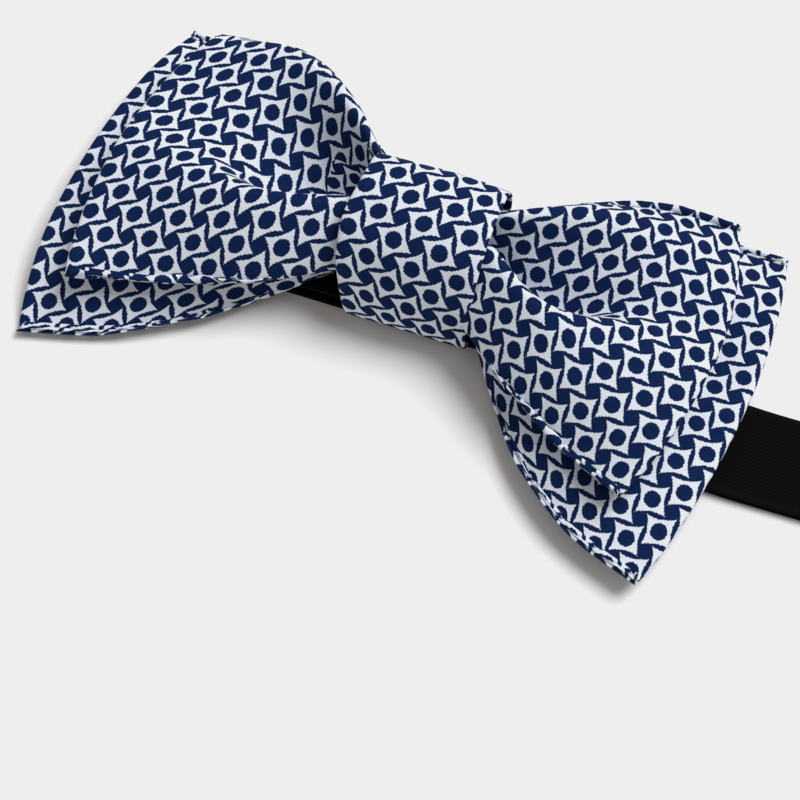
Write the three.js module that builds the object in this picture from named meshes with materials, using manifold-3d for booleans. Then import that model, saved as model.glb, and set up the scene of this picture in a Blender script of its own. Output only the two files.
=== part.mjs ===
// A ready-tied bow tie lying on its back: two folded cloth bows gathered into one knot, on a flat
// neck band whose hook-and-eye clasp is undone. Millimetres, +Z up, the table is z = 0.
// X runs along the neck band, +Y is the bow's top edge, and the origin is on the table under the knot.
import * as THREE from 'three';
import { mergeVertices } from 'three/addons/utils/BufferGeometryUtils.js';
import Module from 'manifold-3d';

const wasm = await Module();
wasm.setup();

// ---------------------------------------------------------------- driving dimensions
const TOUCH_GAP = 0.3; // air kept between pieces that rest on each other

const SHELL_THICKNESS = 0.6; // folded cotton of a bow
const INTERLINING_THICKNESS = 0.5; // stiff felt inside a bow
const INTERLINING_INSET = 1.0; // felt is cut this much narrower than the cloth
const SEAM_OPENING = 2.0; // where the two ends of a folded piece meet

const WAIST_THICKNESS = 6.5; // each bow's gathered folds, along Z
const WAIST_SIDE_ROOM = 2.4; // from the gathered folds to the inside of the knot, along Y
const WAIST_REACH = 1.3; // gathered stretch that shows past each side of the knot, along X

// Each bow: its overall width, its top and bottom edges in Y, where its wings belly out, and the
// middle height and half thickness of the belly and of the folded ends.
const BACK_BOW = {
  width: 120,
  top: 28,
  bottom: -37,
  belly: 32,
  bellyZ: 6.9,
  bellyHalf: 2.4,
  endZ: 5.8,
  endHalf: 2.1,
};
const FRONT_BOW = {
  width: 104,
  top: 25.5,
  bottom: -28.5,
  belly: 28,
  bellyZ: 15.9,
  bellyHalf: 2.4,
  endZ: 14.6,
  endHalf: 2.0,
};

const KNOT_WIDTH = 23; // along the band
const KNOT_TURN = THREE.MathUtils.degToRad(7); // knot and band sit turned against the wings
const WRAP_THICKNESS = 0.8;
const KNOT_LINING_THICKNESS = 0.8;
const BINDING_THICKNESS = 0.8;
const BINDING_WIDTH = 5;
const KNOT_CORNERS = { back: 1.6, front: 3.0 }; // inner corner radii: flat back, rounded front
const BINDING_CORNERS = { back: 0.6, front: 0.6 };
const THREAD_DIAMETER = 0.5;

const BAND_WIDTH = 18;
const BAND_THICKNESS = 0.9;
const BAND_SIDE_PLAY = 0.9; // at each edge, in the knot, the slider and the clasp
const BAND_LEFT_FOLD = -46.8; // the band turns back under the left wing here
const BAND_LEAD = 5.5; // straight stretch past each side of the knot
const BAND_RAMP = 10; // from there down to where the band lies on its own return run

const SLIDER_X = 112;
const SLIDER_BAR = 2.0; // centre bar, along X
const SLIDER_END_BAR = 1.8;
const SLIDER_SLOT = 4.2;
const SLIDER_THICKNESS = 1.2;

const CLASP_BAR_DIAMETER = 1.0;
const CLASP_ARM = 1.5; // side arms and front rail of the clasp frames
const CLASP_SLOT = 3.0; // clear space in front of the bar
const CLASP_THICKNESS = 1.2;
const HOOK_X = 142;
const HOOK_RAIL = 3.5;
const HOOK_TONGUE_WIDTH = 8;
const HOOK_TONGUE_THICKNESS = 0.9;
const HOOK_TONGUE_LENGTH = 8;
const HOOK_THROAT = 1.8;
const HOOK_RETURN = 7;
const EYE_X = 172;
const EYE_WINDOW = { length: 5.0, width: 12.0 };
const EYE_RAIL = 1.7;

// ---------------------------------------------------------------- heights through the knot
const BAND_PITCH = BAND_THICKNESS + TOUCH_GAP;
const bandLayer = (count) => BAND_THICKNESS / 2 + count * BAND_PITCH; // centre height of a layer
const WRAP_BOTTOM = BAND_PITCH;
const LINING_BOTTOM = WRAP_BOTTOM + WRAP_THICKNESS + TOUCH_GAP;
const CHANNEL_FLOOR = LINING_BOTTOM + KNOT_LINING_THICKNESS;
const BAND_IN_KNOT = CHANNEL_FLOOR + TOUCH_GAP + BAND_THICKNESS / 2;
const BINDING_BOTTOM = CHANNEL_FLOOR + 2 * TOUCH_GAP + BAND_THICKNESS;
const BINDING_FLOOR = BINDING_BOTTOM + BINDING_THICKNESS;
const BACK_WAIST_Z = BINDING_FLOOR + TOUCH_GAP + WAIST_THICKNESS / 2;
const FRONT_WAIST_Z = BACK_WAIST_Z + WAIST_THICKNESS + TOUCH_GAP;
const BINDING_CEILING = FRONT_WAIST_Z + WAIST_THICKNESS / 2 + TOUCH_GAP;
const LINING_CEILING = BINDING_CEILING + BINDING_THICKNESS + TOUCH_GAP;
const WRAP_CEILING = LINING_CEILING + KNOT_LINING_THICKNESS + TOUCH_GAP;
const CHANNEL_HALF = BAND_WIDTH / 2 + BAND_SIDE_PLAY; // inner half-width of knot, slider and clasps

// ---------------------------------------------------------------- sizes that follow the knot
const WAIST_HALF_HEIGHT = CHANNEL_HALF - WAIST_SIDE_ROOM; // gathered height of each bow, along Y
const WAIST_HALF_LENGTH = KNOT_WIDTH / 2 + WAIST_REACH; // gathered stretch of each bow, along X
const BAND_STRAIGHT = KNOT_WIDTH / 2 + BAND_LEAD; // half-length of the straight stretch in the knot
const BAND_RAMP_END = BAND_STRAIGHT + BAND_RAMP;

// ---------------------------------------------------------------- small tools
function solidFrom(geometry) {
  const bare = geometry.clone();
  bare.deleteAttribute('normal');
  bare.deleteAttribute('uv');
  const merged = mergeVertices(bare, 1e-4);
  const mesh = new wasm.Mesh({
    numProp: 3,
    vertProperties: new Float32Array(merged.attributes.position.array),
    triVerts: new Uint32Array(merged.index.array),
  });
  return new wasm.Manifold(mesh);
}

function geometryFrom(solid) {
  const mesh = solid.getMesh();
  const geometry = new THREE.BufferGeometry();
  geometry.setAttribute('position', new THREE.BufferAttribute(mesh.vertProperties, 3));
  geometry.setIndex(new THREE.BufferAttribute(mesh.triVerts, 1));
  geometry.computeVertexNormals();
  return geometry;
}

// Adds evenly spaced points from the last point to (x, z), so that later bending stays smooth.
function lineTo(points, x, z, step = 5) {
  const start = points[points.length - 1];
  const count = Math.max(1, Math.ceil(Math.hypot(x - start.x, z - start.y) / step));
  for (let i = 1; i <= count; i += 1) {
    points.push(new THREE.Vector2(x, z).sub(start).multiplyScalar(i / count).add(start));
  }
}

function arcTo(points, centreX, centreZ, radiusX, radiusZ, fromDegrees, toDegrees, count = 10) {
  for (let i = 1; i <= count; i += 1) {
    const angle = THREE.MathUtils.degToRad(fromDegrees + ((toDegrees - fromDegrees) * i) / count);
    const offset = new THREE.Vector2(radiusX * Math.cos(angle), radiusZ * Math.sin(angle));
    points.push(offset.add(new THREE.Vector2(centreX, centreZ)));
  }
}

function curveThrough(points, stations, count = 8) {
  const start = points[points.length - 1];
  const curve = new THREE.SplineCurve([start, ...stations.map(([x, z]) => new THREE.Vector2(x, z))]);
  curve.getPoints(count).slice(1).forEach((point) => points.push(point));
}

// A strip of cloth or metal: a long box bent, with mitred corners, along its edge-on centre line in XZ.
function strip(centreLine, thickness, lowY, highY) {
  const count = centreLine.length - 1;
  const geometry = new THREE.BoxGeometry(count, highY - lowY, thickness, count, 1, 1);
  geometry.translate(count / 2, (lowY + highY) / 2, 0);
  const steps = centreLine.slice(1).map((point, i) => point.clone().sub(centreLine[i]).normalize());
  const sides = centreLine.map((point, i) => {
    const before = steps[Math.max(i - 1, 0)];
    const after = steps[Math.min(i, count - 1)];
    const along = before.clone().add(after).normalize();
    return new THREE.Vector2(-along.y, along.x).divideScalar(along.dot(after));
  });
  const corners = geometry.attributes.position;
  for (let i = 0; i < corners.count; i += 1) {
    const station = Math.round(corners.getX(i));
    const point = centreLine[station].clone().addScaledVector(sides[station], corners.getZ(i));
    corners.setXYZ(i, point.x, corners.getY(i), point.y);
  }
  return geometry;
}

function plate(shape, bottomZ, thickness) {
  const geometry = new THREE.ExtrudeGeometry(shape, { depth: thickness, bevelEnabled: false });
  geometry.translate(0, 0, bottomZ);
  return geometry;
}

function rectangle(lowX, highX, halfY) {
  return [
    new THREE.Vector2(lowX, -halfY),
    new THREE.Vector2(highX, -halfY),
    new THREE.Vector2(highX, halfY),
    new THREE.Vector2(lowX, halfY),
  ];
}

// A thin sewing thread that zigzags from one end of a seam to the other.
function seamThread(start, end, swing, stitches) {
  const points = [];
  for (let i = 0; i <= 2 * stitches; i += 1) {
    const point = start.clone().lerp(end, i / (2 * stitches));
    points.push(point.addScaledVector(swing, i % 2 === 0 ? 1 : -1));
  }
  const section = new THREE.Shape();
  section.absarc(0, 0, THREAD_DIAMETER / 2, 0, 2 * Math.PI);
  return new THREE.ExtrudeGeometry(section, {
    steps: 4 * stitches,
    curveSegments: 3,
    extrudePath: new THREE.CatmullRomCurve3(points),
    bevelEnabled: false,
  });
}

const group = new THREE.Group();
const knotGroup = new THREE.Group();
knotGroup.rotation.z = KNOT_TURN;
group.add(knotGroup);

function addPiece(parent, name, geometry, colour, roughness, metalness = 0) {
  const material = new THREE.MeshStandardMaterial({ color: colour, roughness, metalness });
  const mesh = new THREE.Mesh(geometry, material);
  mesh.name = name;
  parent.add(mesh);
}

const COTTON = '#5a6a98';
const FELT = '#e8e4da';
const BAND_BLACK = '#141312';
const THREAD_NAVY = '#1a2550';
const NICKEL = '#c9c7c2';

// ---------------------------------------------------------------- the two folded bows
// Edge-on line of a folded bow, lying `inset` inside its outer surface. It starts where the two ends
// of the strip meet at the back of the waist, goes round the right end, the front and the left end.
function bowCentreLine(bow, waistZ, inset) {
  const waistHalf = WAIST_THICKNESS / 2 - inset;
  const bellyHalf = bow.bellyHalf - inset;
  const endHalf = bow.endHalf - inset;
  const endX = bow.width / 2 - bow.endHalf;
  const points = [new THREE.Vector2(SEAM_OPENING / 2, waistZ - waistHalf)];
  lineTo(points, WAIST_HALF_LENGTH, waistZ - waistHalf);
  curveThrough(points, [[bow.belly, bow.bellyZ - bellyHalf], [endX, bow.endZ - endHalf]]);
  arcTo(points, endX, bow.endZ, endHalf, endHalf, -90, 90, 8);
  curveThrough(points, [[bow.belly, bow.bellyZ + bellyHalf], [WAIST_HALF_LENGTH, waistZ + waistHalf]]);
  lineTo(points, -WAIST_HALF_LENGTH, waistZ + waistHalf);
  curveThrough(points, [[-bow.belly, bow.bellyZ + bellyHalf], [-endX, bow.endZ + endHalf]]);
  arcTo(points, -endX, bow.endZ, endHalf, endHalf, 90, 270, 8);
  curveThrough(points, [[-bow.belly, bow.bellyZ - bellyHalf], [-WAIST_HALF_LENGTH, waistZ - waistHalf]]);
  lineTo(points, -SEAM_OPENING / 2, waistZ - waistHalf);
  return points;
}

// Front view of a bow, cut square past its ends: it narrows to the waist along two swelling curves.
function bowOutline(bow, inset) {
  const top = bow.top - inset;
  const bottom = bow.bottom + inset;
  const waist = WAIST_HALF_HEIGHT - inset;
  const side = bow.width / 2 + 1;
  const swellX = 0.42 * side;
  const shape = new THREE.Shape();
  shape.moveTo(-WAIST_HALF_LENGTH, -waist);
  shape.lineTo(WAIST_HALF_LENGTH, -waist);
  shape.quadraticCurveTo(swellX, 0.9 * bottom, side, bottom);
  shape.lineTo(side, top);
  shape.quadraticCurveTo(swellX, 0.9 * top, WAIST_HALF_LENGTH, waist);
  shape.lineTo(-WAIST_HALF_LENGTH, waist);
  shape.quadraticCurveTo(-swellX, 0.9 * top, -side, top);
  shape.lineTo(-side, bottom);
  shape.quadraticCurveTo(-swellX, 0.9 * bottom, -WAIST_HALF_LENGTH, -waist);
  return shape;
}

function bowLayer(bow, waistZ, depth, thickness, edgeInset) {
  const folded = strip(bowCentreLine(bow, waistZ, depth), thickness, bow.bottom - 1, bow.top + 1);
  const outline = plate(bowOutline(bow, edgeInset), -1, WRAP_CEILING + 2);
  return geometryFrom(solidFrom(folded).intersect(solidFrom(outline)));
}

function addBow(prefix, bow, waistZ) {
  const interliningDepth = SHELL_THICKNESS + TOUCH_GAP + INTERLINING_THICKNESS / 2;
  const shell = bowLayer(bow, waistZ, SHELL_THICKNESS / 2, SHELL_THICKNESS, 0);
  const felt = bowLayer(bow, waistZ, interliningDepth, INTERLINING_THICKNESS, INTERLINING_INSET);
  const seamZ = waistZ - WAIST_THICKNESS / 2 + SHELL_THICKNESS / 2;
  const seamHalf = WAIST_HALF_HEIGHT - 1;
  const swing = new THREE.Vector3(SEAM_OPENING / 2 - TOUCH_GAP - THREAD_DIAMETER / 2, 0, 0);
  const seamLow = new THREE.Vector3(0, -seamHalf, seamZ);
  const seamHigh = new THREE.Vector3(0, seamHalf, seamZ);
  const thread = seamThread(seamLow, seamHigh, swing, 6);
  addPiece(group, `${prefix}_shell`, shell, COTTON, 0.85);
  addPiece(group, `${prefix}_interlining`, felt, FELT, 0.95);
  addPiece(group, `${prefix}_seam_thread`, thread, THREAD_NAVY, 0.7);
}

addBow('back_bow', BACK_BOW, BACK_WAIST_Z);
addBow('front_bow', FRONT_BOW, FRONT_WAIST_Z);

// ---------------------------------------------------------------- the knot
// A closed loop of cloth or thread round the waist: flat back, rounded front, extruded along X.
function knotRingShape(half, floorZ, ceilingZ, corners, grow) {
  const side = half + grow;
  const low = floorZ - grow;
  const high = ceilingZ + grow;
  const back = corners.back + grow;
  const front = corners.front + grow;
  const shape = new THREE.Shape();
  shape.moveTo(-side + back, low);
  shape.lineTo(side - back, low);
  shape.absarc(side - back, low + back, back, -Math.PI / 2, 0);
  shape.lineTo(side, high - front);
  shape.absarc(side - front, high - front, front, 0, Math.PI / 2);
  shape.lineTo(-side + front, high);
  shape.absarc(-side + front, high - front, front, Math.PI / 2, Math.PI);
  shape.lineTo(-side, low + back);
  shape.absarc(-side + back, low + back, back, Math.PI, 1.5 * Math.PI);
  return shape;
}

function knotRing(half, floorZ, ceilingZ, corners, thickness, width) {
  const shape = knotRingShape(half, floorZ, ceilingZ, corners, thickness);
  shape.holes.push(knotRingShape(half, floorZ, ceilingZ, corners, 0));
  const extrusion = { depth: width, curveSegments: 5, bevelEnabled: false };
  const geometry = new THREE.ExtrudeGeometry(shape, extrusion);
  const alongX = new THREE.Matrix4().makeBasis(
    new THREE.Vector3(0, 1, 0),
    new THREE.Vector3(0, 0, 1),
    new THREE.Vector3(1, 0, 0),
  );
  geometry.applyMatrix4(alongX);
  geometry.translate(-width / 2, 0, 0);
  return geometry;
}

const bindingHalf = WAIST_HALF_HEIGHT + 3 * TOUCH_GAP;
const binding = knotRing(
  bindingHalf,
  BINDING_FLOOR,
  BINDING_CEILING,
  BINDING_CORNERS,
  BINDING_THICKNESS,
  BINDING_WIDTH,
);
addPiece(knotGroup, 'waist_binding', binding, THREAD_NAVY, 0.8);

const liningWidth = KNOT_WIDTH - 1;
const lining = knotRing(
  CHANNEL_HALF,
  CHANNEL_FLOOR,
  LINING_CEILING,
  KNOT_CORNERS,
  KNOT_LINING_THICKNESS,
  liningWidth,
);
addPiece(knotGroup, 'knot_lining', lining, FELT, 0.95);

// The wrap's two ends meet in an open seam under the middle of its back.
const wrapHalf = CHANNEL_HALF + KNOT_LINING_THICKNESS + TOUCH_GAP;
const wrapFloor = WRAP_BOTTOM + WRAP_THICKNESS;
const wrapCorners = {
  back: KNOT_CORNERS.back + KNOT_LINING_THICKNESS,
  front: KNOT_CORNERS.front + KNOT_LINING_THICKNESS,
};
const wrapRing = knotRing(wrapHalf, wrapFloor, WRAP_CEILING, wrapCorners, WRAP_THICKNESS, KNOT_WIDTH);
const seamCut = new THREE.BoxGeometry(KNOT_WIDTH + 2, SEAM_OPENING, 2 * WRAP_THICKNESS);
seamCut.translate(0, 0, WRAP_BOTTOM + WRAP_THICKNESS / 2);
const wrap = geometryFrom(solidFrom(wrapRing).subtract(solidFrom(seamCut)));
addPiece(knotGroup, 'knot_wrap', wrap, COTTON, 0.85);

const wrapSeamZ = WRAP_BOTTOM + WRAP_THICKNESS / 2;
const wrapSeam = seamThread(
  new THREE.Vector3(-KNOT_WIDTH / 2 + 1, 0, wrapSeamZ),
  new THREE.Vector3(KNOT_WIDTH / 2 - 1, 0, wrapSeamZ),
  new THREE.Vector3(0, SEAM_OPENING / 2 - TOUCH_GAP - THREAD_DIAMETER / 2, 0),
  8,
);
addPiece(knotGroup, 'knot_seam_thread', wrapSeam, THREAD_NAVY, 0.7);

// ---------------------------------------------------------------- the neck band
const FOLD_RADIUS = CLASP_BAR_DIAMETER / 2 + TOUCH_GAP + BAND_THICKNESS / 2; // round a clasp bar
const HOOK_BAR_Z = bandLayer(1) + FOLD_RADIUS;
const EYE_BAR_Z = bandLayer(0) + FOLD_RADIUS;
const SLIDER_BOTTOM = bandLayer(2) + BAND_THICKNESS / 2 + TOUCH_GAP;
const SLIDER_Z = SLIDER_BOTTOM + SLIDER_THICKNESS / 2;
const SLIDER_HALF_LENGTH = SLIDER_BAR / 2 + SLIDER_SLOT + SLIDER_END_BAR;
const BAR_LOOP = { x: SLIDER_BAR / 2 + 1.0, z: SLIDER_THICKNESS / 2 + 0.9 }; // band round the centre bar
const WEAVE_TOP = SLIDER_Z + BAR_LOOP.z + BAND_PITCH;

// Sideways drift of the band on the table, as [x, y, slope] stations joined by smooth cubics.
const knotSlope = Math.tan(KNOT_TURN);
const SWAY = [
  [-60, -60 * knotSlope, knotSlope],
  [BAND_STRAIGHT, BAND_STRAIGHT * knotSlope, knotSlope],
  [58, -5.2, 0.02],
  [78, -3.0, 0.13],
  [98, -0.5, 0],
  [220, -0.5, 0],
];
const CLASP_Y = SWAY[SWAY.length - 1][1]; // the hardware stands on the last, straight stretch

function sway(x) {
  const last = SWAY.length - 2;
  const index = Math.min(Math.max(SWAY.findIndex(([station]) => station > x) - 1, 0), last);
  const [x0, y0, slope0] = SWAY[index];
  const [x1, y1, slope1] = SWAY[index + 1];
  const span = x1 - x0;
  const t = (x - x0) / span;
  const rise = y1 - y0;
  return (
    y0 +
    span * slope0 * t +
    (3 * rise - span * (2 * slope0 + slope1)) * t * t +
    (span * (slope0 + slope1) - 2 * rise) * t * t * t
  );
}

// From the end sewn round the slider's centre bar, out to the hook and back through the slider, then
// through the knot, round the fold under the left wing, and along the table to the eye.
const slotX = SLIDER_BAR / 2 + SLIDER_SLOT / 2; // from the slider's middle to the middle of a slot

function bandCentreLine() {
  const endBarX = SLIDER_HALF_LENGTH - SLIDER_END_BAR / 2;
  const rampX = (BAND_RAMP_END + BAND_STRAIGHT) / 2;
  const rampZ = (bandLayer(1) + BAND_IN_KNOT) / 2;
  const points = [new THREE.Vector2(SLIDER_X + BAR_LOOP.x, SLIDER_Z)];
  arcTo(points, SLIDER_X, SLIDER_Z, BAR_LOOP.x, BAR_LOOP.z, 0, 270, 14);
  curveThrough(points, [
    [SLIDER_X + endBarX - 1, bandLayer(1) + 0.1],
    [SLIDER_X + endBarX + 2, bandLayer(1)],
  ]);
  lineTo(points, HOOK_X, bandLayer(1));
  arcTo(points, HOOK_X, HOOK_BAR_Z, FOLD_RADIUS, FOLD_RADIUS, -90, 90);
  lineTo(points, HOOK_X - 4, HOOK_BAR_Z + FOLD_RADIUS);
  curveThrough(points, [[HOOK_X - 8, bandLayer(2) + 0.65], [HOOK_X - 12, bandLayer(2)]], 6);
  lineTo(points, SLIDER_X + endBarX + 0.4, bandLayer(2));
  curveThrough(
    points,
    [
      [SLIDER_X + endBarX - 0.6, bandLayer(2) + 0.05],
      [SLIDER_X + slotX + 0.95, SLIDER_Z - 0.5],
      [SLIDER_X + slotX + 0.3, SLIDER_Z + 0.7],
      [SLIDER_X + slotX - 0.9, WEAVE_TOP - 0.65],
      [SLIDER_X, WEAVE_TOP],
      [SLIDER_X - slotX + 0.9, WEAVE_TOP - 0.65],
      [SLIDER_X - slotX - 0.3, SLIDER_Z + 0.7],
      [SLIDER_X - slotX - 0.95, SLIDER_Z - 0.5],
      [SLIDER_X - endBarX + 0.6, bandLayer(2) + 0.05],
      [SLIDER_X - endBarX - 0.4, bandLayer(2)],
    ],
    40,
  );
  lineTo(points, SLIDER_X - SLIDER_HALF_LENGTH - 1, bandLayer(2));
  const leavesSlider = SLIDER_X - SLIDER_HALF_LENGTH;
  curveThrough(points, [[leavesSlider - 6, bandLayer(1) + 0.2], [leavesSlider - 10, bandLayer(1)]], 6);
  lineTo(points, BAND_RAMP_END, bandLayer(1));
  curveThrough(points, [[rampX, rampZ], [BAND_STRAIGHT, BAND_IN_KNOT]]);
  lineTo(points, -BAND_STRAIGHT, BAND_IN_KNOT);
  curveThrough(points, [[-rampX, rampZ], [-BAND_RAMP_END, bandLayer(1)]]);
  lineTo(points, BAND_LEFT_FOLD + 8, bandLayer(1));
  curveThrough(points, [[BAND_LEFT_FOLD + 4, bandLayer(1.6)], [BAND_LEFT_FOLD, bandLayer(2)]], 6);
  arcTo(points, BAND_LEFT_FOLD, bandLayer(1), BAND_PITCH, BAND_PITCH, 90, 270);
  lineTo(points, EYE_X, bandLayer(0));
  arcTo(points, EYE_X, EYE_BAR_Z, FOLD_RADIUS, FOLD_RADIUS, -90, 90);
  lineTo(points, EYE_X - 2, EYE_BAR_Z + FOLD_RADIUS);
  curveThrough(points, [[EYE_X - 6, bandLayer(1) + 0.5], [EYE_X - 9, bandLayer(1)]], 6);
  lineTo(points, EYE_X - 16, bandLayer(1));
  return points;
}

const band = strip(bandCentreLine(), BAND_THICKNESS, -BAND_WIDTH / 2, BAND_WIDTH / 2);
const bandPoints = band.attributes.position;
for (let i = 0; i < bandPoints.count; i += 1) {
  bandPoints.setY(i, bandPoints.getY(i) + sway(bandPoints.getX(i)));
}
addPiece(group, 'neck_band', band, BAND_BLACK, 0.6);

// ---------------------------------------------------------------- slider, hook and eye
const clasps = new THREE.Group();
clasps.position.y = CLASP_Y;
group.add(clasps);

const frameHalf = CHANNEL_HALF + CLASP_ARM;
const sliderOutline = rectangle(SLIDER_X - SLIDER_HALF_LENGTH, SLIDER_X + SLIDER_HALF_LENGTH, frameHalf);
let slider = solidFrom(plate(new THREE.Shape(sliderOutline), SLIDER_BOTTOM, SLIDER_THICKNESS));
for (const slotMiddle of [SLIDER_X - slotX, SLIDER_X + slotX]) {
  const slot = rectangle(slotMiddle - SLIDER_SLOT / 2, slotMiddle + SLIDER_SLOT / 2, CHANNEL_HALF);
  const cutter = plate(new THREE.Shape(slot), SLIDER_BOTTOM - 1, SLIDER_THICKNESS + 2);
  slider = slider.subtract(solidFrom(cutter));
}
addPiece(clasps, 'band_slider', geometryFrom(slider), NICKEL, 0.3, 1);

// A flat frame whose round rear bar turns in a fold of the band.
function claspFrame(barX, barZ, rail) {
  const slotFront = barX + CLASP_BAR_DIAMETER / 2 + CLASP_SLOT;
  const shape = new THREE.Shape(rectangle(barX, slotFront + rail, frameHalf));
  const slot = rectangle(barX - 1, slotFront, CHANNEL_HALF);
  const flat = solidFrom(plate(shape, barZ - CLASP_THICKNESS / 2, CLASP_THICKNESS));
  const hole = solidFrom(plate(new THREE.Shape(slot), barZ - CLASP_THICKNESS, 2 * CLASP_THICKNESS));
  const barLength = 2 * CHANNEL_HALF + CLASP_ARM;
  const bar = new THREE.CylinderGeometry(CLASP_BAR_DIAMETER / 2, CLASP_BAR_DIAMETER / 2, barLength, 16);
  bar.translate(barX, 0, barZ);
  return flat.subtract(hole).add(solidFrom(bar));
}

// The tongue leaves the front rail, curls up and comes back over itself.
const tongueStart = HOOK_X + CLASP_BAR_DIAMETER / 2 + CLASP_SLOT + HOOK_RAIL / 2;
const tongueEnd = tongueStart + HOOK_RAIL / 2 + HOOK_TONGUE_LENGTH;
const curlRadius = (HOOK_THROAT + HOOK_TONGUE_THICKNESS) / 2;
const tongueLine = [new THREE.Vector2(tongueStart, HOOK_BAR_Z)];
lineTo(tongueLine, tongueEnd, HOOK_BAR_Z);
arcTo(tongueLine, tongueEnd, HOOK_BAR_Z + curlRadius, curlRadius, curlRadius, -90, 90);
lineTo(tongueLine, tongueEnd - HOOK_RETURN, HOOK_BAR_Z + 2 * curlRadius);
const tongue = strip(tongueLine, HOOK_TONGUE_THICKNESS, -HOOK_TONGUE_WIDTH / 2, HOOK_TONGUE_WIDTH / 2);
const hook = claspFrame(HOOK_X, HOOK_BAR_Z, HOOK_RAIL).add(solidFrom(tongue));
addPiece(clasps, 'clasp_hook', geometryFrom(hook), NICKEL, 0.3, 1);

const eyeRailDepth = 2 * EYE_RAIL + EYE_WINDOW.length;
const windowStart = EYE_X + CLASP_BAR_DIAMETER / 2 + CLASP_SLOT + EYE_RAIL;
const windowEnd = windowStart + EYE_WINDOW.length;
const windowShape = new THREE.Shape(rectangle(windowStart, windowEnd, EYE_WINDOW.width / 2));
const eyeWindow = plate(windowShape, EYE_BAR_Z - CLASP_THICKNESS, 2 * CLASP_THICKNESS);
const eye = claspFrame(EYE_X, EYE_BAR_Z, eyeRailDepth).subtract(solidFrom(eyeWindow));
addPiece(clasps, 'clasp_eye', geometryFrom(eye), NICKEL, 0.3, 1);

// Bar tacks: one closes the loop round the slider's centre bar, one holds the fold at the eye.
function barTack(name, x, z) {
  const half = BAND_WIDTH / 2 - 2;
  const swing = new THREE.Vector3(0.3, 0, 0);
  const thread = seamThread(new THREE.Vector3(x, -half, z), new THREE.Vector3(x, half, z), swing, 8);
  addPiece(clasps, name, thread, BAND_BLACK, 0.7);
}

barTack('slider_bar_tack', SLIDER_X + BAR_LOOP.x, SLIDER_Z - 0.65);
barTack('eye_bar_tack', EYE_X - 13, bandLayer(1) + BAND_THICKNESS / 2 + TOUCH_GAP + THREAD_DIAMETER / 2);

export default group;
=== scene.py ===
# %% [markdown]
# # A ready-tied bow tie, lying on its back
#
# The real thing is sewn from a few simple strips. Two strips of printed cotton are folded into flat
# loops, one longer than the other, laid on each other and bound tightly round the middle, so that each
# wing opens out of the knot in two soft lobes with a valley between them. A third strip is wrapped
# round the middle as the knot, and a ribbon with a slider, a hook and an eye runs through its back.
#
# This lesson loads the measured model first, because every soft piece has to lie where its solid lies.
# All sizes are written in millimetres and turned to metres once, in `MM`.

# %% Load the measured frame
import math

import bmesh
import bpy
import numpy as np
from mathutils import Matrix, Vector


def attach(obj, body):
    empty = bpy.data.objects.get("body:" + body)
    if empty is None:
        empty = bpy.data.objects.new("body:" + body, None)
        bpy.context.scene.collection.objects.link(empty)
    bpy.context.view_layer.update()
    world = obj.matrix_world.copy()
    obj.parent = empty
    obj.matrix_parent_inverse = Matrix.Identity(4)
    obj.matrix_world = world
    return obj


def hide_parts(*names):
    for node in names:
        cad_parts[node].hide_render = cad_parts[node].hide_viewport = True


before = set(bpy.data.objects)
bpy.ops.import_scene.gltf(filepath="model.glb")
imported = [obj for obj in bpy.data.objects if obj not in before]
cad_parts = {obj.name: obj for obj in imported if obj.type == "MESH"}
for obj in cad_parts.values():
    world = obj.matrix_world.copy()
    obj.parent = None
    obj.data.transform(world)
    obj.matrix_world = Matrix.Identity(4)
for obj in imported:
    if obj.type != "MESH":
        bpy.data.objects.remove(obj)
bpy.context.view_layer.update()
MM = 0.001

# %% [markdown]
# ## The camera, the table and the light
#
# The bow tie is seen from above its lower edge, turned a little, through a long lens. A long lens keeps
# the two wings nearly the same size, as in a product picture. The camera's three axes are written out,
# because that is easier to read than three angles that depend on their order.
#
# One broad soft light stands high up, behind the bow tie and to its right, and a pale sky fills the
# shade. A sun lamp with a wide angle does this: it is as soft as a big window, but it lights the whole
# table evenly. The table is lit to full white, and the picture's white is set a little below the
# brightest value, as in a bright product picture.

# %% Camera
CAMERA_PLACE = (0.1193, -0.2546, 0.4782)
CAMERA_RIGHT = (0.8977, 0.4406, 0.0041)
CAMERA_UP = (-0.3891, 0.7883, 0.4766)
CAMERA_BACK = (0.2067, -0.4294, 0.8791)
CAMERA_LENS = 140

camera = bpy.data.objects.new("camera", bpy.data.cameras.new("camera"))
camera.data.lens = CAMERA_LENS
camera.data.clip_start = 0.01
turn = Matrix((CAMERA_RIGHT, CAMERA_UP, CAMERA_BACK)).transposed()
camera.matrix_world = Matrix.Translation(CAMERA_PLACE) @ turn.to_4x4()
bpy.context.collection.objects.link(camera)
bpy.context.scene.camera = camera

view = bpy.context.scene.view_settings
view.view_transform = "Standard"
PAPER_WHITE = 0.855
view.use_curve_mapping = True
view.curve_mapping.extend = "HORIZONTAL"
view.curve_mapping.curves[3].points[1].location = (1.0, PAPER_WHITE)
view.curve_mapping.update()


# %% Helpers for materials
def linear(hex_colour):
    """The linear colour of an sRGB hex value, as shaders expect it."""
    shares = [int(hex_colour[i : i + 2], 16) / 255 for i in (1, 3, 5)]
    return [s / 12.92 if s <= 0.04045 else ((s + 0.055) / 1.055) ** 2.4 for s in shares] + [1.0]


def add_node(material, kind, inputs=(), **settings):
    """Adds a node. inputs maps an input's name or number to a value, or to the socket that feeds it."""
    node = material.node_tree.nodes.new(kind)
    for setting, value in settings.items():
        setattr(node, setting, value)
    for place, value in dict(inputs).items():
        if isinstance(value, bpy.types.NodeSocket):
            material.node_tree.links.new(value, node.inputs[place])
        else:
            node.inputs[place].default_value = value
    return node


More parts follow.
